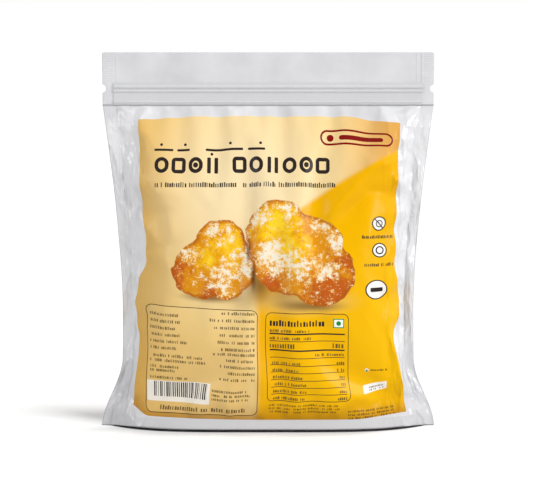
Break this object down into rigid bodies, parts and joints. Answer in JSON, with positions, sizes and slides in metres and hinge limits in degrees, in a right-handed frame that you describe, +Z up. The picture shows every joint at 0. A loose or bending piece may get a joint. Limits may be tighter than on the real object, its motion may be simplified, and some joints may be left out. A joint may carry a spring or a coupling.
{
  "type": "zip pouch of jaggery",
  "caption": "Sealed stand-up zip pouch filled with round jaggery lumps, with a flat header, welded side seals, tear notches and an opened gusset base.",
  "frame": {"origin": "on the surface that the pouch stands on, under the middle of its base", "axes": "+Z up, +X to the right as seen from the front, -Y out of the front face"},
  "size_m": [0.206, 0.0622, 0.23],
  "materials": {
    "printed_film": "glossy pearl-white laminate film with a printed panel in cream and yellow",
    "zip_plastic": "pearl-white film drawn over the moulded closing ribs"
  },
  "bodies": {
    "root": {"pouch": "printed_film", "zip_strip_front": "zip_plastic", "zip_strip_back": "zip_plastic"}
  },
  "joints": []
}
